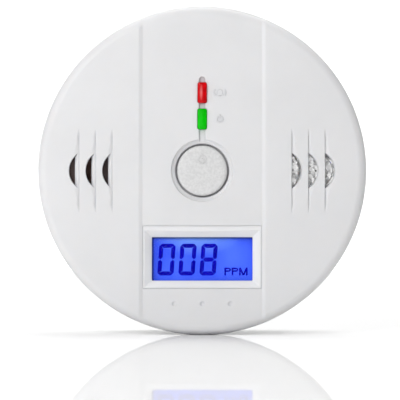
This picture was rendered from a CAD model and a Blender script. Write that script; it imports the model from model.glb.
import math

import bmesh
import bpy
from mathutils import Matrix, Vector

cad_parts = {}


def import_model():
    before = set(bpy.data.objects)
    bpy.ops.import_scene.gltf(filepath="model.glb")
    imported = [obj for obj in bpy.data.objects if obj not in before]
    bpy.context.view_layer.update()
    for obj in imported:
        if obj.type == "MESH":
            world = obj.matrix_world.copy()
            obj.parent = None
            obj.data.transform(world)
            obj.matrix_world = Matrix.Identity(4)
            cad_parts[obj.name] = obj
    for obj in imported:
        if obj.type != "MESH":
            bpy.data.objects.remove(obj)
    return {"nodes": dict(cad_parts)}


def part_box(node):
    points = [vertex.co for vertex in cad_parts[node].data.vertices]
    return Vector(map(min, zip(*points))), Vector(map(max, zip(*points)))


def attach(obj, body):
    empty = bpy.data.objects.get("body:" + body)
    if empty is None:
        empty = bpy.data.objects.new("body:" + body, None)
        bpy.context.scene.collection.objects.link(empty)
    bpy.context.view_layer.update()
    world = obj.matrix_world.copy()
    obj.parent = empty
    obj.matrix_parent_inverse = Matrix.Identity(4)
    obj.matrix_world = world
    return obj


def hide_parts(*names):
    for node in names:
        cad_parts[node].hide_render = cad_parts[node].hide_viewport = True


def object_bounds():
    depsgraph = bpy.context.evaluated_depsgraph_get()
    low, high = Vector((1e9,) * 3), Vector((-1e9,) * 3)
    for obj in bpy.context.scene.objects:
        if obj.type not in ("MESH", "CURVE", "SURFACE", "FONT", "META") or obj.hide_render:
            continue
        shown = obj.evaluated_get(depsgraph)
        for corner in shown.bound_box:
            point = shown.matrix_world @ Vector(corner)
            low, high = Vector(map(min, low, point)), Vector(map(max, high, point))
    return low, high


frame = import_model()
CAD_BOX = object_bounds()
NODES = frame["nodes"]

# All shapes below are in millimetres: x to the right, d the distance out from the wall, z up.
MM = 1e-3


def span(node):
    """(x from, x to, d from, d to, z from, z to) of a CAD node."""
    low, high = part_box(node)
    return low[0] * 1e3, high[0] * 1e3, -high[1] * 1e3, -low[1] * 1e3, low[2] * 1e3, high[2] * 1e3


def centre(node):
    x0, x1, d0, d1, z0, z1 = span(node)
    return (x0 + x1) / 2, (z0 + z1) / 2


# The case: a shallow dome with a rounded edge over a slightly bulging side.
COVER = span("front_cover")
RADIUS = COVER[1]
CLIP_REACH = 4.4
REAR_D = COVER[2] + CLIP_REACH
REAR_RIM_R = 48.9
WIDEST_D = 30.0
CASE_D = 38.0
DOME_R, DOME_RISE = 45.0, 1.5
BALL = (DOME_R ** 2 + DOME_RISE ** 2) / (2 * DOME_RISE)
BALL_D = CASE_D - BALL
FILLET = 3.0
FILLET_R = RADIUS - FILLET
FILLET_D = BALL_D + math.sqrt((BALL - FILLET) ** 2 - FILLET_R ** 2)
MEET_R = FILLET_R * BALL / (BALL - FILLET)
COVER_WALL = 2.2
AXIS_R = 0.4

# The centre strip: its floor half width, the half width at the top of its sides, and how far it is sunk.
STRIP_LOW, STRIP_HIGH, STRIP_SINK = 18.05, 19.25, 0.4
CHANNEL_HALF, CHANNEL_LOW, CHANNEL_TOP, CHANNEL_SINK = 0.9, 6.0, 28.5, 0.6
DIMPLES, DIMPLE_Z = (-8.5, 0.0, 8.5), -40.5
RED = centre("alarm_lens_red")
GREEN = centre("status_lens_green")
LENS_HALF_X, LENS_HALF_Z, LENS_GAP = 1.35, 3.1, 0.07
PANEL = (-STRIP_LOW, STRIP_LOW, -35.8, -16.7)
WINDOW = (-15.3, 15.3, -33.4, -20.2)

# The vents: straight inner lines, half height and width of each half-moon, half height of its groove.
VENTS = (27.1, 32.15, 37.2)
VENT_HALF, VENT_WIDE, GROOVE_HALF = 5.6, 3.3, 12.6
SENSOR = (round(centre("sensor_lid")[0], 1), 0.0)
SOUNDER = (round(centre("sounder_chamber")[0], 1), 0.0)

# The back: case screws, twist-lock lugs and the slots for the wall screws.
SCREWS = [(x, z) for x in (-29.3, 29.3) for z in (-22.5, 22.5)]
LOCK_TURNS = (90, 210, 330)
SLOT_X, SLOT_HALF_X, SLOT_HALF_Z = 35.0, 3.5, 2.25


# ---- mesh helpers ----

def linked(name, data):
    obj = bpy.data.objects.new(name, data)
    bpy.context.scene.collection.objects.link(obj)
    return obj


def make(name, verts, faces, smooth=28.0):
    mesh = bpy.data.meshes.new(name)
    mesh.from_pydata([(x * MM, -d * MM, z * MM) for x, d, z in verts], [], faces)
    mesh.validate()
    bm = bmesh.new()
    bm.from_mesh(mesh)
    bmesh.ops.remove_doubles(bm, verts=bm.verts, dist=1e-7)
    bmesh.ops.recalc_face_normals(bm, faces=bm.faces)
    bm.to_mesh(mesh)
    bm.free()
    obj = linked(name, mesh)
    shade(obj, smooth)
    return obj


def shade(obj, angle=28.0):
    obj.data.shade_smooth()
    obj.data.set_sharp_from_angle(angle=math.radians(angle))


def face_weighted(obj, angle=28.0):
    """Large flat faces decide the shading, so cut edges leave no smears on them."""
    shade(obj, angle)
    mod = obj.modifiers.new("weights", "WEIGHTED_NORMAL")
    mod.mode = "FACE_AREA"
    mod.weight = 90
    mod.keep_sharp = True
    bake(obj)


def bake(obj):
    graph = bpy.context.evaluated_depsgraph_get()
    mesh = bpy.data.meshes.new_from_object(obj.evaluated_get(graph))
    obj.modifiers.clear()
    obj.data = mesh


def rows_mesh(rows, ring=False):
    """Closed skin through rows of points; each row is a closed loop with the same count."""
    count = len(rows[0])
    verts = [p for row in rows for p in row]
    faces = []
    for r in range(len(rows) - 1 + (1 if ring else 0)):
        a, b = r * count, ((r + 1) % len(rows)) * count
        for i in range(count):
            j = (i + 1) % count
            faces.append((a + i, a + j, b + j, b + i))
    if ring:
        return verts, faces
    for row, base in ((rows[0], 0), (rows[-1], (len(rows) - 1) * count)):
        verts.append(tuple(sum(p[k] for p in row) / count for k in range(3)))
        hub = len(verts) - 1
        for i in range(count):
            faces.append((base + i, base + (i + 1) % count, hub))
    return verts, faces


def arc(cx, cz, r, start, end, steps):
    """Points along a circle from start to end, in degrees."""
    angles = [math.radians(start + (end - start) * i / steps) for i in range(steps + 1)]
    return [(cx + r * math.cos(a), cz + r * math.sin(a)) for a in angles]


def circle(cx, cz, r, count):
    return arc(cx, cz, r, 0, 360, count)[:-1]


def lathe(name, profile, cx=0.0, cz=0.0, count=192, ring=False, smooth=28.0):
    """Turns a profile of (radius, depth) points about the line through cx, cz."""
    rows = [[(x, d, z) for x, z in circle(cx, cz, r, count)] for r, d in profile]
    return make(name, *rows_mesh(rows, ring), smooth)


def rounded_rect(x0, x1, z0, z1, corner, steps=6):
    out = []
    for cx, cz, start in ((x1 - corner, z1 - corner, 0), (x0 + corner, z1 - corner, 90),
                          (x0 + corner, z0 + corner, 180), (x1 - corner, z0 + corner, 270)):
        out.extend(arc(cx, cz, corner, start, start + 90, steps))
    return out


def grown(outline, by):
    """The outline moved outward; it runs anticlockwise seen from the front."""
    out = []
    before, after = outline[-1:] + outline[:-1], outline[1:] + outline[:1]
    for (ax, az), (bx, bz), (cx, cz) in zip(before, outline, after):
        n1 = Vector((bz - az, ax - bx))
        n2 = Vector((cz - bz, bx - cx))
        n1 = n1.normalized() if n1.length > 1e-9 else n2.normalized()
        n2 = n2.normalized() if n2.length > 1e-9 else n1
        mean = n1 + n2
        mean = mean.normalized() if mean.length > 1e-6 else n1
        reach = by / max(0.5, mean.dot(n1))
        out.append((bx + mean.x * reach, bz + mean.y * reach))
    return out


def stack(name, outline, rows, smooth=28.0):
    """Closed solid from one outline; each row is (grow, depth), depth a number or a function of x, z."""
    loops = []
    for grow, depth in rows:
        loops.append([(x, depth(x, z) if callable(depth) else depth, z) for x, z in grown(outline, grow)])
    return make(name, *rows_mesh(loops), smooth)


def slab(name, x0, x1, d0, d1, z0, z1, edge=0.3, corner=0.6, smooth=40.0):
    """A moulded block with rounded upright corners and softened front and back rims."""
    outline = rounded_rect(x0, x1, z0, z1, corner, 5)
    turns = [math.radians(90 * i / 4) for i in range(5)]
    rows = [(-edge * (1 - math.sin(a)), d0 + edge * (1 - math.cos(a))) for a in turns]
    rows += [(-edge * (1 - math.cos(a)), d1 - edge * (1 - math.sin(a))) for a in turns]
    return stack(name, outline, rows, smooth)


def join(name, objs):
    verts, faces = [], []
    for o in objs:
        base = len(verts)
        verts.extend([tuple(v.co) for v in o.data.vertices])
        faces.extend([tuple(base + i for i in p.vertices) for p in o.data.polygons])
        bpy.data.objects.remove(o)
    mesh = bpy.data.meshes.new(name)
    mesh.from_pydata(verts, [], faces)
    obj = linked(name, mesh)
    shade(obj)
    return obj


def combine(target, others, operation):
    tool = join("tool", others)
    mod = target.modifiers.new("cut", "BOOLEAN")
    mod.operation = operation
    mod.solver = "EXACT"
    mod.object = tool
    bake(target)
    bpy.data.objects.remove(tool)


def cut(target, others):
    combine(target, others, "DIFFERENCE")


def add(target, others):
    combine(target, others, "UNION")


def swing(obj, degrees):
    """Turns a mesh about the case axis, anticlockwise seen from the front."""
    a = math.radians(degrees)
    for v in obj.data.vertices:
        x, z = v.co.x, v.co.z
        v.co.x = x * math.cos(a) - z * math.sin(a)
        v.co.z = x * math.sin(a) + z * math.cos(a)
    return obj


def sector(name, r0, r1, a0, a1, d0, d1, edge=0.2):
    """Part of a ring between two radii and two angles, with softened front and back rims."""
    steps = max(6, int(abs(a1 - a0) / 1.5))
    outline = arc(0.0, 0.0, r1, a0, a1, steps) + arc(0.0, 0.0, r0, a1, a0, steps)
    return stack(name, outline, [(-edge, d0), (0, d0 + edge), (0, d1 - edge), (-edge, d1)], 35.0)


# ---- the curved face ----

def face_d(x, z, sink=0.0):
    """Depth of the outer face of the case over the point x, z."""
    r = math.hypot(x, z)
    if r <= MEET_R:
        return BALL_D + math.sqrt(BALL ** 2 - r ** 2) - sink
    lift = max(0.0, FILLET ** 2 - min(FILLET, r - FILLET_R) ** 2)
    return FILLET_D + math.sqrt(lift) - sink


def strip_d(x, z):
    """Depth of the face with the centre strip sunk into it."""
    reach = (abs(x) - STRIP_LOW) / (STRIP_HIGH - STRIP_LOW)
    if reach >= 1:
        return face_d(x, z)
    return face_d(x, z, STRIP_SINK * (1 - max(0.0, reach)))


def smooth_step(t):
    t = max(0.0, min(1.0, t))
    return t * t * (3 - 2 * t)


def case_profile(inset):
    """(r, d) points from the rear rim over the side and the front edge to the crown."""
    side = RADIUS - inset
    rear_side = REAR_RIM_R - inset
    bulge = ((side - rear_side) ** 2 + (WIDEST_D - REAR_D) ** 2) / (2 * (side - rear_side))
    pts = []
    for i in range(9):
        a = math.asin((WIDEST_D - REAR_D) / bulge) * (1 - i / 8)
        pts.append((side - bulge + bulge * math.cos(a), WIDEST_D - bulge * math.sin(a)))
    pts.append((side, (WIDEST_D + FILLET_D) / 2))
    fillet = FILLET - inset
    top = math.asin(FILLET_R / (BALL - FILLET))
    for i in range(13):
        a = (math.pi / 2 - top) * i / 12
        pts.append((FILLET_R + fillet * math.cos(a), FILLET_D + fillet * math.sin(a)))
    ball = BALL - inset
    for i in range(1, 17):
        r = (MEET_R - inset * 0.07) * (1 - i / 17)
        pts.append((r, BALL_D + math.sqrt(ball ** 2 - r ** 2)))
    return pts


def trough_columns():
    """Where the trough's columns stand: close together over the soft edges of its sides."""
    edge = [STRIP_HIGH + 0.12, STRIP_HIGH - 0.08, STRIP_HIGH - 0.3, (STRIP_LOW + STRIP_HIGH) / 2,
            STRIP_LOW + 0.3, STRIP_LOW + 0.08, STRIP_LOW - 0.15]
    half = STRIP_HIGH + 0.5
    return [-half] + [-x for x in edge] + [-12.0, -6.0, 0.0, 6.0, 12.0] + edge[::-1] + [half]


def strip_trough():
    """Cut away to sink the centre strip: its floor copies the face, its sides slope with soft edges."""
    rim = [RADIUS - FILLET * (1 - math.cos(math.radians(90 * i / 10))) for i in range(11)]
    rim = sorted(set(round(r, 5) for r in rim))
    rows = []
    for x in trough_columns():
        reach = min(1.3, (abs(x) - STRIP_LOW) / (STRIP_HIGH - STRIP_LOW))
        if abs(x) > STRIP_HIGH:
            sink = -(abs(x) - STRIP_HIGH) / (STRIP_HIGH - STRIP_LOW) * STRIP_SINK
        else:
            sink = STRIP_SINK * (1 - (0.65 * max(0.0, reach) + 0.35 * smooth_step(reach)))
        end = math.sqrt((rim[0] - 0.4) ** 2 - x ** 2)
        tail = [math.sqrt(min(r, RADIUS - 0.004) ** 2 - x ** 2) for r in rim] + [RADIUS + 2.0]
        zs = [-z for z in tail[::-1]] + [end * (2 * i / 28 - 1) for i in range(29)] + tail
        column = []
        for z in zs:
            inside = math.hypot(x, z) < RADIUS
            depth = face_d(x, z, sink) if inside else FILLET_D - 0.4 - sink + STRIP_SINK
            column.append((x, depth, z))
        rows.append(column)
    count = len(rows[0])
    floor = [p for row in rows for p in row]
    base = len(floor)
    faces = []
    for i in range(len(rows) - 1):
        for j in range(count - 1):
            a, b, c, d = i * count + j, i * count + j + 1, (i + 1) * count + j + 1, (i + 1) * count + j
            faces.append((a, b, c, d))
            faces.append((a + base, d + base, c + base, b + base))
        for j in (0, count - 1):
            a, b = i * count + j, (i + 1) * count + j
            faces.append((a, b, b + base, a + base))
    for j in range(count - 1):
        for i in (0, len(rows) - 1):
            a, b = i * count + j, i * count + j + 1
            faces.append((a, b, b + base, a + base))
    return make("trough", floor + [(x, CASE_D + 3.0, z) for x, d, z in floor], faces)


def vent_groove(line, side):
    """A crease: a steep inner wall and a shallow ramp back up to the face, fading out at both ends."""
    rows = []
    for i in range(33):
        z = GROOVE_HALF * (i / 16 - 1)
        fade = smooth_step((GROOVE_HALF - abs(z)) / 2.6)
        deep = 0.02 + 0.30 * fade
        wide = 0.25 + 0.55 * fade + 0.7 * smooth_step((8.2 - abs(z)) / 2.6) * fade
        foot = line + 0.16
        section = [(line - 0.06, 0.9), (line, 0.12), (line + 0.03, -deep * 0.5), (line + 0.07, -deep),
                   (foot, -deep - 0.02), (foot + wide * 0.5, -deep * 0.42),
                   (foot + wide * 0.85, -deep * 0.06), (foot + wide * 1.1, 0.06), (foot + wide * 1.3, 0.9)]
        rows.append([(side * x, face_d(x, z) + rel, z) for x, rel in section])
    return make("groove", *rows_mesh(rows))


def vent_outline(line, shift, inset, side):
    """Half-moon outline: straight edge moved out by shift, arc drawn in by inset."""
    radius = (VENT_HALF ** 2 + VENT_WIDE ** 2) / (2 * VENT_WIDE) - inset
    mid = line + VENT_WIDE - radius - inset
    edge = line + shift
    half = math.sqrt(radius ** 2 - (edge - mid) ** 2)
    turn = math.asin(half / radius)
    angles = [turn * (i / 20 - 1) for i in range(41)]
    pts = [(mid + radius * math.cos(a), radius * math.sin(a)) for a in angles]
    pts.extend([(edge, half * (1 - i / 6)) for i in range(1, 12)])
    return [(side * x, z) for x, z in pts]


def vent_hole(line, side):
    """The straight wall leans outward on the sounder side and is almost upright on the sensor side.

    Each row is (depth from the face, shift of the straight wall, inset of the arc)."""
    leaning = ((1.0, -0.4, 0.0), (0.0, 0.05, 0.0), (-0.12, 0.35, 0.02), (-0.45, 0.9, 0.05), (-1.1, 1.4, 0.08),
               (-2.6, 1.6, 0.1), (-3.4, 1.65, 0.12))
    upright = ((1.0, -0.1, 0.0), (0.0, 0.0, 0.0), (-0.25, 0.04, 0.12), (-1.0, 0.12, 0.34),
               (-2.4, 0.25, 0.42), (-3.4, 0.33, 0.45))
    rows = []
    for rel, shift, inset in (leaning if side < 0 else upright):
        rows.append([(x, face_d(x, z) + rel, z) for x, z in vent_outline(line, shift, inset, side)])
    return make("hole", *rows_mesh(rows))


def lip_cut(name, outline, floor, lip=0.18, up=1.0, surface=strip_d):
    """A pocket or hole with a small rolled edge where it meets the face."""
    rows = [(lip * 1.3, lambda x, z: surface(x, z) + up), (lip * 1.02, lambda x, z: surface(x, z) + 0.02)]
    for i in (1, 2, 3):
        a = math.radians(30 * i)
        rows.append((lip * (1 - math.sin(a)), lambda x, z, a=a: surface(x, z) - lip * (1 - math.cos(a))))
    rows.append((0, floor))
    return stack(name, outline, rows)


def channel_cut():
    """The narrow groove that runs from the button up past both lenses."""
    top = CHANNEL_TOP - CHANNEL_HALF
    outline = [(-CHANNEL_HALF, CHANNEL_LOW), (CHANNEL_HALF, CHANNEL_LOW)]
    outline += arc(0.0, top, CHANNEL_HALF, 0, 180, 12)
    return lip_cut("channel", outline, lambda x, z: strip_d(x, z) - CHANNEL_SINK, 0.15)


def dimple_cut(x):
    bowl = ((0.95, 0.5), (0.86, 0.03), (0.76, -0.03), (0.68, -0.10), (0.52, -0.21), (0.34, -0.29),
            (0.16, -0.33), (0.05, -0.34))
    rows = []
    for r, rel in bowl:
        rows.append([(px, strip_d(x, DIMPLE_Z) + rel, pz) for px, pz in circle(x, DIMPLE_Z, r, 24)])
    return make("dimple", *rows_mesh(rows))


def dish_cut():
    """The dish around the button: a rolled lip, a sloping bowl and a step down to the gap."""
    profile = ((9.75, -1.0), (9.6, 0.38), (9.5, 0.46), (9.38, 0.72), (9.1, 1.0), (8.75, 1.16), (8.4, 1.26),
               (8.25, 1.34), (8.1, 1.6), (7.0, 1.65))
    return lathe("dish", [(r, CASE_D - drop) for r, drop in profile], count=128)


def front_cover():
    outer = case_profile(0.0)
    inner = case_profile(COVER_WALL)
    outline = [(AXIS_R, outer[-1][1])] + outer[::-1] + inner + [(AXIS_R, inner[-1][1])]
    cover = lathe("front_cover_skin", [(max(r, AXIS_R), d) for r, d in outline], count=256)
    cut(cover, [strip_trough()])
    vents = [(line, side) for line in VENTS for side in (-1, 1)]
    cut(cover, [vent_groove(*vent) for vent in vents] + [channel_cut()] + [dimple_cut(x) for x in DIMPLES])
    outline = rounded_rect(*PANEL, 0.25, 3)
    panel = stack("panel", outline, [(0.0, CASE_D + 1), (0.0, 37.9), (0, 36.4), (0, 30.0)])
    cut(cover, [dish_cut()] + [vent_hole(*vent) for vent in vents] + [panel])
    through = [lathe("opening", [(8.1, CASE_D + 2), (8.1, 30.0)], count=128)]
    half_x, half_z = LENS_HALF_X + LENS_GAP, LENS_HALF_Z + LENS_GAP
    for x, z in (RED, GREEN):
        outline = rounded_rect(x - half_x, x + half_x, z - half_z, z + half_z, 0.56)
        through.append(stack("lens_hole", outline, [(0.1, CASE_D + 1), (0.1, 37.3), (0, 37.1), (0, 30.0)]))
    cut(cover, through)
    face_weighted(cover, 24.0)
    return cover


# ---- materials ----

def tree_of(name):
    """A new material with its node tree and its main shader."""
    material = bpy.data.materials.new(name)
    material.use_nodes = True
    return material, material.node_tree, material.node_tree.nodes["Principled BSDF"]


def settle(part, values):
    """Sets the sockets whose value is the same all over the surface."""
    for socket, value in values.items():
        part.inputs[socket].default_value = value


def new_node(tree, kind, values=None, **options):
    made = tree.nodes.new("ShaderNode" + kind)
    for option, value in options.items():
        setattr(made, option, value)
    settle(made, values or {})
    return made


def wire(tree, source, target, *sockets):
    for socket in sockets:
        tree.links.new(source, target.inputs[socket])


def object_coords(tree):
    return new_node(tree, "TexCoord").outputs["Object"]


def noise(tree, scale, detail=3.0, rough=0.55, stretch=None):
    """The strength of a cloudy noise in the object's own space."""
    coords = object_coords(tree)
    grain = new_node(tree, "TexNoise", {"Scale": scale, "Detail": detail, "Roughness": rough})
    if stretch:
        mapping = new_node(tree, "Mapping", {"Scale": stretch})
        wire(tree, coords, mapping, "Vector")
        coords = mapping.outputs["Vector"]
    wire(tree, coords, grain, "Vector")
    return grain.outputs["Fac"]


def ramp(tree, source, low, high, start=0.35, end=0.65):
    """A colour that runs from low to high while the source runs from start to end."""
    mix = new_node(tree, "ValToRGB")
    for element, place, colour in zip(mix.color_ramp.elements, (start, end), (low, high)):
        element.position = place
        element.color = (*colour, 1)
    wire(tree, source, mix, "Fac")
    return mix.outputs["Color"]


def map_range(tree, source, start, end, low, high, **options):
    """A number that runs from low to high while the source runs from start to end."""
    values = {"From Min": start, "From Max": end, "To Min": low, "To Max": high}
    spread = new_node(tree, "MapRange", values, **options)
    wire(tree, source, spread, "Value")
    return spread.outputs["Result"]


def roughen(tree, shader, source, low, high):
    wire(tree, map_range(tree, source, 0.3, 0.7, low, high), shader, "Roughness")


def bumped(tree, shader, layers, edge=0.0):
    """Stacks bump layers (height, strength, distance in metres); edge is the radius of hard corners."""
    normal = None
    if edge:
        normal = new_node(tree, "Bevel", {"Radius": edge}, samples=4).outputs["Normal"]
    for height, strength, distance in layers:
        bump = new_node(tree, "Bump", {"Strength": strength, "Distance": distance})
        wire(tree, height, bump, "Height")
        if normal is not None:
            wire(tree, normal, bump, "Normal")
        normal = bump.outputs["Normal"]
    wire(tree, normal, shader, "Normal")


def tinted(tree, mode, a, b):
    mix = new_node(tree, "Mix", {"Factor": 1.0}, data_type="RGBA", blend_type=mode)
    wire(tree, a, mix, "A")
    wire(tree, b, mix, "B")
    return mix.outputs["Result"]


def multiply(tree, a, b):
    product = new_node(tree, "Math", operation="MULTIPLY")
    wire(tree, a, product, 0)
    wire(tree, b, product, 1)
    return product.outputs["Value"]


def soft_spot(tree, x, z, wide, high):
    """A soft round patch, 1 in the middle and 0 at its rim, in millimetres on the face."""
    placing = {"Location": (x * MM, 0.0, z * MM), "Scale": (wide * MM, 1.0, high * MM)}
    place = new_node(tree, "Mapping", placing, vector_type="TEXTURE")
    wire(tree, object_coords(tree), place, "Vector")
    flat = new_node(tree, "VectorMath", {1: (1, 0, 1)}, operation="MULTIPLY")
    wire(tree, place.outputs["Vector"], flat, 0)
    spot = new_node(tree, "TexGradient", gradient_type="SPHERICAL")
    wire(tree, flat.outputs["Vector"], spot, "Vector")
    return spot.outputs["Fac"]


def dimmed(colour, share):
    return tuple(c * share for c in colour)


def moulded(name, colour, roughness, grain_scale=2600.0, grain=0.05, edge=0.00018, vary=0.02, edge_dark=0.10,
            glow=0.0, mottle=60.0):
    """Injection-moulded plastic: fine grain, a slow waviness, dust in the recesses, rounded edges."""
    material, tree, shader = tree_of(name)
    lighter = tuple(min(1.0, c * (1 + vary * 0.4)) for c in colour)
    tone = ramp(tree, noise(tree, mottle, 4.0), dimmed(colour, 1 - vary), lighter)
    crease = new_node(tree, "AmbientOcclusion", {"Distance": 0.0018}, samples=4)
    dusty = (1 - edge_dark, 1 - edge_dark * 1.02, 1 - edge_dark * 0.94)
    dust = ramp(tree, crease.outputs["AO"], dusty, (1, 1, 1), 0.25, 0.9)
    wire(tree, tinted(tree, "MULTIPLY", tone, dust), shader, "Base Color")
    fine = noise(tree, grain_scale, 2.0)
    slow = noise(tree, 220.0, 3.0)
    roughen(tree, shader, fine, roughness - 0.05, roughness + 0.06)
    settle(shader, {"IOR": 1.5, "Specular IOR Level": 0.4, "Subsurface Weight": glow,
                    "Subsurface Radius": (1.0, 0.9, 0.8), "Subsurface Scale": 0.0012})
    bumped(tree, shader, [(slow, 0.10, 0.00006), (fine, grain, 0.00003)], edge)
    return material


def lens_glow(name, deep, bright, strength, spot=None):
    """Tinted clear plastic with an uneven glow from the lamp behind it; spot adds a soft pale highlight."""
    material, tree, shader = tree_of(name)
    tone = ramp(tree, noise(tree, 420.0, 2.0), deep, bright, 0.3, 0.7)
    wire(tree, tone, shader, "Base Color", "Emission Color")
    if spot:
        x, z, wide, high, colour = spot
        lit = new_node(tree, "Mix", {"B": (*colour, 1)}, data_type="RGBA")
        wire(tree, soft_spot(tree, x, z, wide, high), lit, "Factor")
        wire(tree, tone, lit, "A")
        wire(tree, lit.outputs["Result"], shader, "Emission Color")
    settle(shader, {"Emission Strength": strength, "Roughness": 0.16, "IOR": 1.49, "Coat Weight": 0.06,
                    "Coat Roughness": 0.08, "Specular IOR Level": 0.15})
    bumped(tree, shader, [(noise(tree, 900.0, 2.0), 0.08, 0.00005)])
    return material


def metal(name, colour, roughness, scale=900.0, strength=0.15):
    """Sheet metal: rolling marks, smudges and slight unevenness."""
    material, tree, shader = tree_of(name)
    smudge = noise(tree, 180.0, 4.0)
    wire(tree, ramp(tree, smudge, dimmed(colour, 0.78), colour), shader, "Base Color")
    settle(shader, {"Metallic": 1.0})
    marks = noise(tree, scale, 3.0, 0.6)
    roughen(tree, shader, marks, roughness - 0.08, roughness + 0.12)
    bumped(tree, shader, [(smudge, 0.2, 0.0002), (marks, strength, 0.00005)], 0.0001)
    return material


def crinkled(name, colour, roughness):
    """Thin bright metal skin with sharp creases and dents that throw broken reflections."""
    material, tree, shader = tree_of(name)
    smudge = noise(tree, 260.0, 4.0)
    wire(tree, ramp(tree, smudge, dimmed(colour, 0.72), colour), shader, "Base Color")
    settle(shader, {"Metallic": 1.0})
    roughen(tree, shader, smudge, roughness - 0.06, roughness + 0.1)
    moved = new_node(tree, "VectorMath", {1: (0.0012, 0.0012, 0.0012)}, operation="MULTIPLY_ADD")
    wire(tree, noise(tree, 300.0, 2.0).node.outputs["Color"], moved, 0)
    wire(tree, object_coords(tree), moved, 2)
    creases = new_node(tree, "TexVoronoi", {"Scale": 620.0}, feature="F1")
    wire(tree, moved.outputs["Vector"], creases, "Vector")
    fine = noise(tree, 1500.0, 3.0)
    bumped(tree, shader, [(creases.outputs["Distance"], 0.55, 0.0005), (fine, 0.3, 0.00012)])
    return material


def rubbery(name, colour, roughness=0.6):
    """Wire jackets, seals and cloth: dull, slightly mottled."""
    material, tree, shader = tree_of(name)
    cloud = noise(tree, 500.0, 4.0)
    wire(tree, ramp(tree, cloud, dimmed(colour, 0.7), colour), shader, "Base Color")
    roughen(tree, shader, cloud, roughness - 0.1, roughness + 0.15)
    bumped(tree, shader, [(noise(tree, 3000.0, 2.0), 0.3, 0.00004)])
    return material


def board_material():
    """Green solder mask with copper tracks showing as raised lines under it."""
    material, tree, shader = tree_of("board_mask")
    tracks = new_node(tree, "TexBrick", {
        "Scale": 260.0, "Mortar Size": 0.045, "Mortar Smooth": 0.2, "Color1": (0.010, 0.115, 0.040, 1),
        "Color2": (0.014, 0.135, 0.050, 1), "Mortar": (0.022, 0.200, 0.075, 1)})
    turned = new_node(tree, "Mapping", {"Rotation": (math.radians(90), 0, 0)})
    wire(tree, object_coords(tree), turned, "Vector")
    wire(tree, turned.outputs["Vector"], tracks, "Vector")
    wire(tree, tracks.outputs["Color"], shader, "Base Color")
    settle(shader, {"Roughness": 0.34})
    weave = noise(tree, 1500.0, 2.0)
    bumped(tree, shader, [(tracks.outputs["Fac"], 0.5, 0.00004), (weave, 0.1, 0.00003)], 0.0001)
    return material


def display_shade(tree):
    """The frame's shadow along the display's edges: (axis, edge, where it ends, light left at the edge)."""
    left, right, bottom, top = [edge * MM for edge in WINDOW]
    axes = new_node(tree, "SeparateXYZ")
    wire(tree, object_coords(tree), axes, "Vector")
    shade_all = None
    for axis, edge, reach, low in (("X", left, 0.0009, 0.25), ("X", right, -0.0004, 0.7),
                                   ("Z", top, -0.0012, 0.22), ("Z", bottom, 0.0004, 0.7)):
        one = map_range(tree, axes.outputs[axis], edge, edge + reach, low, 1.0,
                        interpolation_type="SMOOTHSTEP")
        shade_all = multiply(tree, shade_all, one) if shade_all else one
    return shade_all


def display_material():
    """Lit blue display: paler near the lamp at the top middle, shaded by the frame at the top and left."""
    material, tree, shader = tree_of("display_lit")
    colour = ramp(tree, noise(tree, 90.0, 1.0), (0.034, 0.085, 0.80), (0.052, 0.125, 0.90), 0.3, 0.7)
    for spot, glow in (((-1.5, -19.0, 14.0, 7.0), (0.13, 0.24, 0.02)),
                       ((9.0, -26.0, 8.0, 9.0), (0.015, 0.03, 0.02))):
        patch = ramp(tree, soft_spot(tree, *spot), (0, 0, 0), glow, 0.0, 0.9)
        colour = tinted(tree, "ADD", colour, patch)
    dark = new_node(tree, "CombineColor")
    wire(tree, display_shade(tree), dark, "Red", "Green", "Blue")
    colour = tinted(tree, "MULTIPLY", colour, dark.outputs["Color"])
    wire(tree, colour, shader, "Base Color", "Emission Color")
    settle(shader, {"Emission Strength": 0.50, "Specular IOR Level": 0.08, "Roughness": 0.35})
    bumped(tree, shader, [(noise(tree, 3000.0, 1.0), 0.05, 0.00002)])
    return material


def digit_material():
    """The dark blue of the display's switched-on segments."""
    material, tree, shader = tree_of("display_digits")
    tone = ramp(tree, noise(tree, 300.0, 2.0), (0.001, 0.0005, 0.22), (0.003, 0.002, 0.32))
    wire(tree, tone, shader, "Base Color", "Emission Color")
    settle(shader, {"Emission Strength": 0.9, "Specular IOR Level": 0.0, "Roughness": 0.5})
    return material


def clear_material():
    """Clear window sheet, faintly wavy."""
    material, tree, shader = tree_of("window_plastic")
    settle(shader, {"Base Color": (0.97, 0.98, 1.0, 1), "Roughness": 0.05, "Transmission Weight": 1.0,
                    "IOR": 1.12})
    bumped(tree, shader, [(noise(tree, 200.0, 2.0), 0.02, 0.00005)])
    return material


def cell_material():
    """Glossy dark shrink sleeve of a battery cell, creased along its length."""
    material, tree, shader = tree_of("cell_sleeve")
    cloud = noise(tree, 150.0, 3.0)
    wire(tree, ramp(tree, cloud, (0.020, 0.024, 0.040), (0.034, 0.040, 0.062)), shader, "Base Color")
    roughen(tree, shader, cloud, 0.18, 0.3)
    settle(shader, {"Metallic": 0.35, "Coat Weight": 0.5, "Coat Roughness": 0.1})
    bumped(tree, shader, [(noise(tree, 700.0, 3.0, 0.5, (1, 1, 0.15)), 0.15, 0.0001)])
    return material


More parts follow.
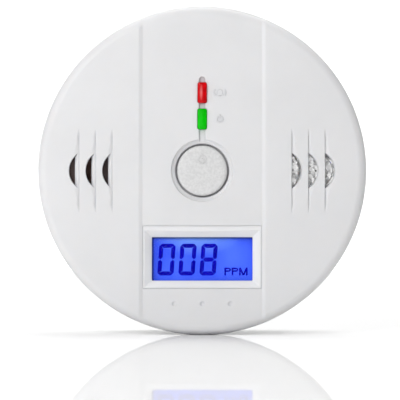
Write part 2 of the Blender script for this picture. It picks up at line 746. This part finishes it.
MATERIALS = {
    "case": moulded("case_plastic", (0.81, 0.81, 0.82), 0.42, grain=0.12, edge_dark=0.34, glow=0.35),
    "button": moulded("button_plastic", (0.755, 0.755, 0.755), 0.45, 1600.0, 0.7, vary=0.09, edge_dark=0.3,
                      mottle=1500.0),
    "bezel": moulded("bezel_plastic", (0.89, 0.89, 0.90), 0.36, edge_dark=0.08, glow=0.35),
    "housing": moulded("housing_plastic", (0.74, 0.74, 0.73), 0.5, 1800.0, 0.12, vary=0.03, edge_dark=0.2),
    "bracket": moulded("bracket_plastic", (0.72, 0.72, 0.71), 0.5, 1800.0, 0.12, vary=0.03, edge_dark=0.2),
    "holder": moulded("holder_plastic", (0.7, 0.7, 0.7), 0.5),
    "chip": moulded("chip_resin", (0.022, 0.022, 0.024), 0.55, 1800.0, 0.2, 0.0001, 0.2),
    "sounder": moulded("sounder_plastic", (0.085, 0.050, 0.046), 0.38, 1500.0, 0.15, 0.0002, 0.2),
    "ferrite": moulded("ferrite", (0.05, 0.05, 0.055), 0.6, 1500.0, 0.3, 0.0001, 0.2),
    "tan": moulded("chip_ceramic", (0.32, 0.20, 0.11), 0.4, 1500.0, 0.1, 0.0001, 0.1),
    "pale": moulded("disc_ceramic_skin", (0.62, 0.61, 0.56), 0.35, 1500.0, 0.1, 0.0001, 0.1),
    "red_lens": lens_glow("lens_red_clear", (0.36, 0.0, 0.002), (0.58, 0.001, 0.004), 0.30,
                          (RED[0] - 0.3, RED[1] + 0.1, 0.55, 2.7, (1.0, 0.6, 0.6))),
    "green_lens": lens_glow("lens_green_clear", (0.0, 0.36, 0.0), (0.0, 0.46, 0.001), 0.35),
    "steel": metal("spring_steel", (0.62, 0.61, 0.59), 0.32),
    "tin": metal("tinned_copper", (0.70, 0.69, 0.66), 0.28),
    "sensor": metal("sensor_nickel", (0.80, 0.80, 0.79), 0.18, 350.0, 0.5),
    "sensor_lid": crinkled("sensor_foil", (0.96, 0.96, 0.96), 0.22),
    "can": metal("capacitor_aluminium", (0.72, 0.72, 0.74), 0.3),
    "brass": metal("piezo_brass_dull", (0.42, 0.26, 0.22), 0.5),
    "red_wire": rubbery("wire_red", (0.42, 0.012, 0.012), 0.4),
    "black_wire": rubbery("wire_black", (0.02, 0.02, 0.02), 0.4),
    "rubber": rubbery("seal_rubber_dull", (0.03, 0.03, 0.03), 0.8),
    "cloth": rubbery("filter_cloth_dull", (0.04, 0.04, 0.04), 0.9),
    "board": board_material(),
    "display": display_material(),
    "digits": digit_material(),
    "clear": clear_material(),
    "cell": cell_material(),
    "light": moulded("backlight_guide", (0.70, 0.76, 0.85), 0.25),
}


def piece(obj, body, node, material):
    """A finished piece; it stands for a CAD node unless node is None."""
    obj.data.materials.clear()
    obj.data.materials.append(MATERIALS[material])
    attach(obj, body)
    if node:
        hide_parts(node)


# ---- the face ----

piece(front_cover(), "alarm", "front_cover", "case")


def test_button():
    """Cap with a rolled edge over a wide flange, hollow from behind, with the stem for the switch."""
    x, z = centre("test_button")
    back, front = span("test_button")[2:4]
    r = 7.6
    roll, drop = 1.0, 0.06
    flange_r, flange_top, flange_low = 9.3, 35.35, 34.3
    profile = [(AXIS_R, front), (2.5, front), (4.5, front - 0.005), (6.0, front - 0.02), (6.55, front - drop)]
    for i in range(1, 9):
        a = math.radians(90 * i / 8)
        profile.append((r - roll + roll * math.sin(a), front - drop - 0.95 * (1 - math.cos(a))))
    profile += [(r, 36.0), (r, flange_top), (flange_r, flange_top), (flange_r, flange_low), (6.4, flange_low),
                (6.4, 36.2), (2.4, 36.2), (2.4, back + 0.05), (AXIS_R, back + 0.05)]
    return lathe("test_button_cap", profile, x, z, 128, smooth=32.0)


piece(test_button(), "button", "test_button", "button")


def lens_piece(name, node):
    """Clear light pipe whose front is crowned across its width, with soft rims and a seating flange."""
    x, z = centre(node)
    d0, d1 = span(node)[2:4]
    flange_top, flange_low, flange_out = 34.8, 33.8, 0.35
    outline = rounded_rect(x - LENS_HALF_X, x + LENS_HALF_X, z - LENS_HALF_Z, z + LENS_HALF_Z, 0.5)
    loops = []
    for share in (0.12, 0.3, 0.48, 0.64, 0.78, 0.9):
        loop = []
        for px, pz in outline:
            across, along = share * (px - x), share * (pz - z)
            crown = 0.16 * (across / LENS_HALF_X) ** 2 + 0.10 * (along / LENS_HALF_Z) ** 4
            loop.append((x + across, d1 - crown, z + along))
        loops.append(loop)
    for grow, depth in ((-0.10, d1 - 0.24), (-0.03, d1 - 0.32), (0.0, d1 - 0.45), (0, flange_top),
                        (flange_out, flange_top), (flange_out, flange_low), (0, flange_low), (0, d0 + 0.1),
                        (-0.1, d0)):
        loops.append([(px, depth, pz) for px, pz in grown(outline, grow)])
    return make(name, *rows_mesh(loops), 40.0)


for lens, node, slot, finish in (("alarm_lens", "alarm_lens_red", "lens_red", "red_lens"),
                                 ("status_lens", "status_lens_green", "lens_green", "green_lens")):
    piece(lens_piece(lens, node), "alarm", node, finish)


def widened(box, by):
    return box[0] - by, box[1] + by, box[2] - by, box[3] + by


def panel_d(x, z):
    """Depth of the display panel's face, which follows the case a hair below it."""
    return face_d(x, z, STRIP_SINK + 0.03)


def subdivided(loop, long_side, parts):
    """The loop with its long sides split, so they can follow the curved face."""
    dense = []
    for k in range(len(loop)):
        ax, az = loop[k]
        bx, bz = loop[(k + 1) % len(loop)]
        cuts = parts if math.hypot(bx - ax, bz - az) > long_side else 1
        dense.extend([(ax + (bx - ax) * c / cuts, az + (bz - az) * c / cuts) for c in range(cuts)])
    return dense


def frame_cut():
    """The bevelled opening of the display frame; rows of (box, fixed depth, distance from the face)."""
    steps = (((-17.6, 17.6, -35.35, -17.95), None, 1.5), ((-17.5, 17.5, -35.3, -18.0), None, 0.02),
             ((-17.38, 17.38, -35.18, -18.12), None, -0.10), (widened(WINDOW, 0.12), 35.75, 0.0),
             (WINDOW, 35.6, 0.0), (WINDOW, 30.0, 0.0))
    rows = []
    for box, fixed, rel in steps:
        loop = subdivided(rounded_rect(*box, 0.25, 3), 5, 8)
        rows.append([(x, fixed or panel_d(x, z) + rel, z) for x, z in loop])
    return make("frustum", *rows_mesh(rows))


def display_bezel():
    """The panel insert: a flat frame with a bevelled opening, on a flange behind the cover."""
    flange_front = 34.25
    back = span("display_bezel")[2]
    outline = rounded_rect(*widened(PANEL, -0.04), 0.3, 4)
    rows = [(-0.06, panel_d), (-0.02, lambda x, z: panel_d(x, z) - 0.02),
            (0, lambda x, z: panel_d(x, z) - 0.06), (0, back)]
    bezel = stack("display_bezel_frame", outline, rows, 35.0)
    add(bezel, [slab("flange", -19.2, 19.2, back, flange_front, -36.6, -15.8, 0.1, 0.5)])
    cut(bezel, [frame_cut()])
    cut(bezel, [slab("pocket", -16.7, 16.7, 30.0, 35.3, -34.7, -18.9, 0.05, 0.3)])
    face_weighted(bezel, 24.0)
    return bezel


piece(display_bezel(), "alarm", "display_bezel", "bezel")


# ---- display digits ----

def segments(lit, left, bottom, width, height, stroke, lean):
    """Seven-segment digit as flat polygons with small gaps, chamfered outer corners and a slight lean."""
    w, h, t, gap = width, height, stroke, 0.16
    half, low = h / 2, h / 2 - gap * 0.6
    c = t * 0.55
    inset = t + gap * 0.6
    side = [(0, gap + c), (0, low - c * 0.5), (t * 0.5, low), (t, low - t * 0.5), (t, t + gap),
            (c * 0.5, gap + c * 0.5)]
    foot = [(gap + c, 0), (w - gap - c, 0), (w - gap - c * 0.2, c * 0.8), (w - t - gap, t), (t + gap, t),
            (gap + c * 0.2, c * 0.8)]
    middle = [(t * 0.5 + gap, half), (inset, half + t / 2), (w - inset, half + t / 2),
              (w - t * 0.5 - gap, half), (w - inset, half - t / 2), (inset, half - t / 2)]
    shapes = {"a": [(x, h - z) for x, z in foot], "b": [(w - x, h - z) for x, z in side],
              "c": [(w - x, z) for x, z in side], "d": foot, "e": side, "f": [(x, h - z) for x, z in side],
              "g": middle}
    return [[(left + x + lean * z, bottom + z) for x, z in shapes[name]] for name in lit]


def stroke_bar(ax, az, bx, bz, width):
    along = Vector((bx - ax, bz - az)).normalized()
    side = Vector((-along.y, along.x)) * width / 2
    return [(ax + side.x, az + side.y), (bx + side.x, bz + side.y), (bx - side.x, bz - side.y),
            (ax - side.x, az - side.y)]


def unit_letters(left, base, height, pitch, width):
    """The unit of the reading, drawn as plain strokes."""
    top, peak, foot = base + height, 2.1, base + 0.1
    bars = []
    for x in (left, left + pitch):
        bars.append(stroke_bar(x, base, x, top, width))
        bowl = [(x, top - width / 2)]
        for i in range(9):
            a = math.radians(90 - 22.5 * i)
            bowl.append((x + 1.0 + 0.6 * math.cos(a),
                         base + height * 0.73 + (height * 0.27 - width / 2) * math.sin(a)))
        bowl.append((x, base + height * 0.46 + width / 2))
        for start, end in zip(bowl, bowl[1:]):
            bars.append(stroke_bar(*start, *end, width))
    x = left + 2 * pitch + 0.05
    for line in ((x, base, x, top), (x + peak, base, x + peak, top), (x, top, x + peak / 2, foot),
                 (x + peak / 2, foot, x + peak, top)):
        bars.append(stroke_bar(*line, width))
    return bars


def flat_shapes(name, polygons, front, thickness, smooth=20.0):
    """Thin raised shapes; front is their outer depth, as a number or a function of x, z."""
    verts, faces = [], []
    for poly in polygons:
        base, n = len(verts), len(poly)
        outer = [front(x, z) if callable(front) else front for x, z in poly]
        verts.extend([(x, d, z) for (x, z), d in zip(poly, outer)])
        verts.extend([(x, d - thickness, z) for (x, z), d in zip(poly, outer)])
        faces.append(tuple(base + i for i in range(n)))
        faces.append(tuple(base + n + i for i in reversed(range(n))))
        for i in range(n):
            j = (i + 1) % n
            faces.append((base + i, base + n + i, base + n + j, base + j))
    return make(name, verts, faces, smooth)


def reading():
    """Three digits and the unit."""
    base, pitch = -31.9, 6.42
    shapes = []
    for k, lit in enumerate(("abcdef", "abcdef", "abcdefg")):
        shapes += segments(lit, -13.75 + pitch * k, base, 5.0, 9.7, 1.28, 0.075)
    return shapes + unit_letters(7.0, base, 2.4, 2.22, 0.5)


digits = flat_shapes("display_digits_lit", reading(), span("lcd_glass")[3] + 0.03, 0.06)
piece(digits, "alarm", None, "digits")


# ---- raised signs on the face: plain pictograms in place of words ----

def arc_band(cx, cz, r, start, end, width):
    """Band along a circle as one polygon, from start to end in degrees."""
    steps = max(6, int(abs(end - start) / 10))
    outer = arc(cx, cz, r + width / 2, start, end, steps)
    return outer + arc(cx, cz, r - width / 2, start, end, steps)[::-1]


def bell_sign(cx, cz):
    skirt = [(cx - 0.78, cz - 0.35), (cx - 1.1, cz - 0.72), (cx + 1.1, cz - 0.72), (cx + 0.78, cz - 0.35)]
    body = arc(cx, cz + 0.3, 0.7, 0, 180, 12) + skirt
    clapper = arc(cx, cz - 0.84, 0.3, 180, 360, 9)
    waves = [arc_band(cx, cz + 0.1, 1.75, side - 32, side + 32, 0.24) for side in (0, 180)]
    return [body, clapper] + waves


def power_sign(cx, cz):
    return [arc_band(cx, cz, 0.95, 125, 415, 0.28), stroke_bar(cx, cz + 0.25, cx, cz + 1.3, 0.28)]


def press_sign(cx, cz):
    return [arc_band(cx, cz, 1.15, 0, 180, 0.28), arc_band(cx, cz, 1.15, 180, 360, 0.28),
            circle(cx, cz, 0.36, 18)]


RELIEF, ROOT, SIGN_RIGHT = 0.13, 0.4, 5.4
signs = bell_sign(RED[0] + SIGN_RIGHT, RED[1]) + power_sign(GREEN[0] + SIGN_RIGHT, GREEN[1])
face_signs = flat_shapes("face_signs", signs, lambda x, z: strip_d(x, z) + RELIEF, ROOT)
piece(face_signs, "alarm", None, "case")
button_sign = flat_shapes("button_sign", press_sign(0.0, 3.4), span("test_button")[3] + RELIEF, ROOT)
piece(button_sign, "button", None, "button")


# ---- sensor and sounder, which show through the vents ----

def sensor_lid():
    """Crimped lid: a recessed middle with a small inlet hole beside its centre."""
    x, z = SENSOR
    rear, front = span("sensor_lid")[2:4]
    r = 10.0
    profile = [(0.3, rear), (0.3, 32.92), (4.7, 32.9), (4.95, 32.94), (5.15, front - 0.12),
               (5.35, front - 0.02), (8.6, front), (9.4, front - 0.06), (9.85, front - 0.3),
               (r, front - 0.6), (r, rear)]
    lid = lathe("sensor_lid_cap", profile, x, z, 160, False, 40.0)
    inlet = [(0.2, 32.0), (0.5, 32.0), (0.5, 32.85), (0.65, 33.0), (0.65, 34.0), (0.2, 34.0)]
    cut(lid, [lathe("inlet", inlet, x + 1.7, z, 48)])
    face_weighted(lid, 40.0)
    return lid


piece(sensor_lid(), "alarm", "sensor_lid", "sensor_lid")


def sounder_chamber():
    """Round resonance cup: a raised ring around its sound hole and a rounded outer edge."""
    rear, r, wall_r, inner_top = 24.6, 11.5, 9.6, 33.0
    profile = [(3.0, inner_top), (3.0, 34.5), (3.1, 34.6), (4.1, 34.6), (4.2, 34.5), (4.3, 34.32),
               (4.6, 34.25), (10.9, 34.25), (11.25, 34.15), (11.45, 33.9), (r, 33.6), (r, rear),
               (wall_r, rear), (wall_r, inner_top)]
    return lathe("sounder_chamber_body", profile, *SOUNDER, 160, True, 32.0)


piece(sounder_chamber(), "alarm", "sounder_chamber", "sounder")


# ---- back of the alarm ----

def housing_shell():
    """The housing's outer skin: back plate, groove for the bracket's ring, and the side up to the cover."""
    outline = [(AXIS_R, 2.6), (40.7, 2.6), (41.2, 2.66), (41.52, 2.95), (41.6, 3.3), (41.6, 6.8),
               (41.75, 6.98), (42.0, 7.0), (45.7, 7.0), (46.2, 7.12), (46.9, 7.8), (48.3, 13.0),
               (48.42, 13.45), (48.2, 13.7), (47.7, 13.9), (46.5, 13.9), (46.3, 17.2), (44.6, 17.2),
               (44.6, 13.0), (44.2, 9.2), (39.6, 9.2), (39.6, 4.6), (AXIS_R, 4.6)]
    return lathe("rear_housing_shell", outline, count=256, smooth=30.0)


def rear_housing():
    """Outer skin of the housing with its door recess, screw pockets, keyed lugs and battery bay."""
    housing = housing_shell()
    add(housing, [slab("bay", -24.1, 24.1, 4.0, 21.5, -30.5, 30.5, 0.2, 0.8)])
    for x, z in SCREWS:
        add(housing, [lathe("tower", [(0.3, 4.0), (4.5, 4.0), (4.5, 9.3), (4.2, 9.6), (0.3, 9.6)], x, z, 48)])
    add(housing, [slab("frame_wall", -26.2, 26.2, 4.0, 6.4, -31.5, 32.6, 0.2, 1.0)])
    add(housing, [slab("hinge_wall", -25.6, 25.6, 4.2, 7.2, -31.0, -28.0, 0.2, 0.8)])
    for turn in (0, 180):
        add(housing, [swing(sector("pocket_wall", 28.6, 40.2, -29.0, 9.0, 2.9, 7.2), turn)])
    add(housing, [swing(sector("lug", 41.0, 43.7, -7.0, 7.0, 2.8, 4.2, 0.15), turn) for turn in LOCK_TURNS])
    cut(housing, [slab("cavity", -22.6, 22.6, 0.0, 20.0, -29.0, 29.0, 0.05, 1.0)])
    cut(housing, [slab("door_recess", -24.6, 24.6, 0.0, 4.95, -32.4, 31.1, 0.05, 0.8)])
    angles = [math.radians(a) for a in range(0, 181, 10)]
    finger = [(5.5 * math.cos(a), 33.0 + 3.2 * math.sin(a)) for a in angles] + [(-5.5, 30.9), (5.5, 30.9)]
    cut(housing, [stack("finger", finger, [(0.4, 0.0), (0.3, 2.5), (0.0, 2.9), (-0.4, 4.2)])])
    cut(housing, [swing(sector("head_pocket", 29.8, 40.0, -26.5, 6.5, 0.0, 5.8), turn) for turn in (0, 180)])
    well = [(0.3, 0.0), (3.5, 0.0), (3.4, 2.45), (3.1, 2.75), (3.0, 3.0), (3.0, 7.4), (1.65, 7.4),
            (1.65, 12.0), (0.3, 12.0)]
    cut(housing, [lathe("well", well, x, z, 48) for x, z in SCREWS])
    face_weighted(housing)
    return housing


piece(rear_housing(), "alarm", "rear_housing", "housing")


def slotted_pad(side):
    """One screw pad of the bracket with the slot for its wall screw."""
    x0, x1 = sorted((side * 31.0, side * 44.0))
    pad = slab("pad", x0, x1, 0.0, 2.0, -9.0, 9.0, 0.2, 2.4)
    x = side * SLOT_X
    outline = rounded_rect(x - SLOT_HALF_X, x + SLOT_HALF_X, -SLOT_HALF_Z, SLOT_HALF_Z, 2.2, 12)
    flare = [(0.6, -0.5), (0.3, 0.0), (0.0, 0.35), (0.0, 1.65), (0.3, 2.0), (0.6, 2.5)]
    cut(pad, [stack("slot", outline, flare)])
    return pad


def mounting_bracket():
    """Ring with a stiff rim, two slotted screw pads, three twist-lock tabs with stops, and drain holes."""
    ring = [(42.3, 0.0), (45.7, 0.0), (45.93, 0.08), (46.0, 0.3), (46.0, 6.2), (45.92, 6.42), (45.7, 6.5),
            (44.6, 6.5), (44.38, 6.42), (44.3, 6.2), (44.3, 2.15), (44.15, 2.0), (42.5, 2.0), (42.3, 1.8)]
    bracket = lathe("mounting_bracket_ring", ring, count=256, ring=True, smooth=30.0)
    for side in (-1, 1):
        add(bracket, [slotted_pad(side)])
    for name, start, end, low, high in (("tab", -8.0, 8.0, 4.6, 6.1), ("stop", -9.4, -7.5, 0.5, 6.08)):
        blocks = [sector(name, 42.0, 44.6, start, end, low, high, 0.12) for turn in LOCK_TURNS]
        add(bracket, [swing(block, turn) for block, turn in zip(blocks, LOCK_TURNS)])
    hole = [(0.2, -1.0), (0.9, -1.0), (0.9, 3.0), (0.2, 3.0)]
    places = [arc(0.0, 0.0, 43.3, turn, turn, 1)[0] for turn in (75, 105, 255, 285)]
    cut(bracket, [lathe("drain", hole, x, z, 32) for x, z in places])
    face_weighted(bracket)
    return bracket


piece(mounting_bracket(), "bracket", "mounting_bracket", "bracket")


def battery_door():
    """Plate with rounded upper corners, hinge barrel and pins along its lower edge, and finger grips."""
    hinge_d, hinge_z = 4.0, -30.0
    outline = [(-24.2, hinge_z), (24.2, hinge_z)]
    outline += arc(22.7, 29.2, 1.5, 0, 90, 6) + arc(-22.7, 29.2, 1.5, 90, 180, 6)
    plate = [(-0.3, 2.6), (-0.09, 2.66), (0, 2.85), (0, 4.4), (-0.15, 4.6)]
    door = stack("battery_door_plate", outline, plate, 30.0)
    rows = []
    for x, r in ((-25.7, 0.7), (-25.5, 0.95), (-24.2, 0.95), (-24.2, 1.4), (24.2, 1.4), (24.2, 0.95),
                 (25.5, 0.95), (25.7, 0.7)):
        rows.append([(x, d, z) for z, d in circle(hinge_z, hinge_d, r, 48)])
    add(door, [make("barrel", *rows_mesh(rows))])
    grips = []
    for k in range(5):
        z, half = 22.0 + 1.5 * k, 7.0 - 0.5 * k
        groove = rounded_rect(-half, half, z, z + 0.7, 0.3, 4)
        grips.append(stack("grip", groove, [(0.2, 2.3), (0.15, 2.62), (-0.05, 2.8), (-0.15, 3.05)]))
    cut(door, grips)
    face_weighted(door)
    return door


piece(battery_door(), "door", "battery_door", "housing")


# ---- finishes for the CAD nodes that stay ----

FINISH = {
    "clear": ("display_window",),
    "display": ("lcd_glass",),
    "light": ("lcd_backlight",),
    "holder": ("lcd_holder", "switch_plunger"),
    "board": ("main_pcb",),
    "chip": ("microcontroller", "driver_chip", "chip_resistors", "transistors", "switch_body"),
    "ferrite": ("inductor",),
    "can": ("crystal", "capacitor_large", "capacitor_small"),
    "tan": ("chip_capacitors",),
    "red_lens": ("led_red",),
    "green_lens": ("led_green",),
    "sensor": ("sensor_can",),
    "rubber": ("sensor_gasket", "sounder_gasket"),
    "cloth": ("sensor_filter",),
    "brass": ("piezo_disc",),
    "pale": ("piezo_ceramic",),
    "tin": ("lcd_pins", "sensor_tab_can", "sensor_tab_lid", "contact_positive", "contact_link_upper",
            "contact_link_lower", "contact_negative"),
    "steel": ("housing_screws", "pcb_screws", "battery_springs"),
    "cell": ("battery_cell_left", "battery_cell_middle", "battery_cell_right"),
    "red_wire": ("sounder_lead_red", "battery_lead_red"),
    "black_wire": ("sounder_lead_black", "battery_lead_black"),
}
for finish, names in FINISH.items():
    for name in names:
        obj = NODES[name]
        if not obj.material_slots:
            obj.data.materials.append(MATERIALS[finish])
        for slot in obj.material_slots:
            slot.material = MATERIALS[finish]


# ---- floor, backdrop, light and camera ----

def floor_material():
    """White gloss laminate: a matt white under a thin mirror layer."""
    material, tree, shader = tree_of("glossy_white_floor")
    settle(shader, {"Base Color": (0.93, 0.93, 0.93, 1), "Roughness": 0.6, "Specular IOR Level": 0.0})
    gloss = new_node(tree, "BsdfGlossy", {"Roughness": 0.015, "Color": (1, 1, 1, 1)})
    blend = new_node(tree, "MixShader", {"Fac": 0.29})
    wire(tree, shader.outputs["BSDF"], blend, 1)
    wire(tree, gloss.outputs["BSDF"], blend, 2)
    wire(tree, blend.outputs["Shader"], tree.nodes["Material Output"], "Surface")
    return material


def studio():
    """A floor that curves up into the backdrop; the object stands on it. Metres."""
    floor_z = CAD_BOX[0][2]
    half_wide, bend_start, bend = 4.0, 1.2, 0.8
    rows = [(-3.0, 0.0), (0.9, 0.0), (1.1, 0.0), (bend_start, 0.0)]
    for i in range(1, 13):
        a = math.radians(90 * i / 12)
        rows.append((bend_start + bend * math.sin(a), bend * (1 - math.cos(a))))
    rows.append((bend_start + bend, 4.0))
    verts = [(x, y, floor_z + z) for y, z in rows for x in (-half_wide, half_wide)]
    faces = [(2 * i, 2 * i + 1, 2 * i + 3, 2 * i + 2) for i in range(len(rows) - 1)]
    mesh = bpy.data.meshes.new("floor_sweep")
    mesh.from_pydata(verts, [], faces)
    mesh.shade_smooth()
    floor = linked("floor_sweep", mesh)
    mesh.materials.append(floor_material())


def lamp(name, place, target, width, height, power, colour=(1, 1, 1)):
    """A soft rectangular lamp aimed at a point, in metres and watts; the camera doesn't see it."""
    data = bpy.data.lights.new(name, "AREA")
    data.shape = "RECTANGLE"
    data.size, data.size_y = width, height
    data.energy = power
    data.color = colour
    obj = linked(name, data)
    obj.location = place
    obj.rotation_euler = (Vector(target) - Vector(place)).to_track_quat("-Z", "Y").to_euler()
    obj.visible_camera = False


def world():
    sky = bpy.data.worlds.new("studio_world")
    bpy.context.scene.world = sky
    sky.use_nodes = True
    settle(sky.node_tree.nodes["Background"], {"Color": (1.0, 1.0, 1.0, 1), "Strength": 0.22})


def camera():
    """Straight on, far enough away that the face looks almost flat."""
    data = bpy.data.cameras.new("camera")
    data.lens = 250.0
    data.clip_start = 0.01
    data.clip_end = 20.0
    data.dof.use_dof = False
    obj = linked("camera", data)
    reach, face_y = 0.8486, -0.031
    obj.location = (-0.00067, face_y - reach, -0.0089)
    obj.rotation_euler = (math.radians(90), 0, 0)
    bpy.context.scene.camera = obj


studio()
world()
lamp("key", (-0.42, -0.66, 0.44), (0, -0.02, 0), 0.5, 0.5, 3.6)
lamp("softbox", (-0.55, -1.25, 0.0), (0, -0.02, -0.01), 1.3, 1.3, 4.7)
lamp("fill", (0.8, -0.8, 0.25), (0, -0.02, 0), 0.9, 0.9, 0.3, (0.97, 0.98, 1.0))
lamp("top", (0.15, 0.35, 1.1), (0, 0.1, 0), 1.6, 0.9, 10.0)
lamp("backdrop", (0.0, 0.9, 0.7), (0, 2.0, 0.4), 2.5, 1.5, 26.0)
camera()
view = bpy.context.scene.view_settings
view.view_transform, view.look = "Standard", "None"
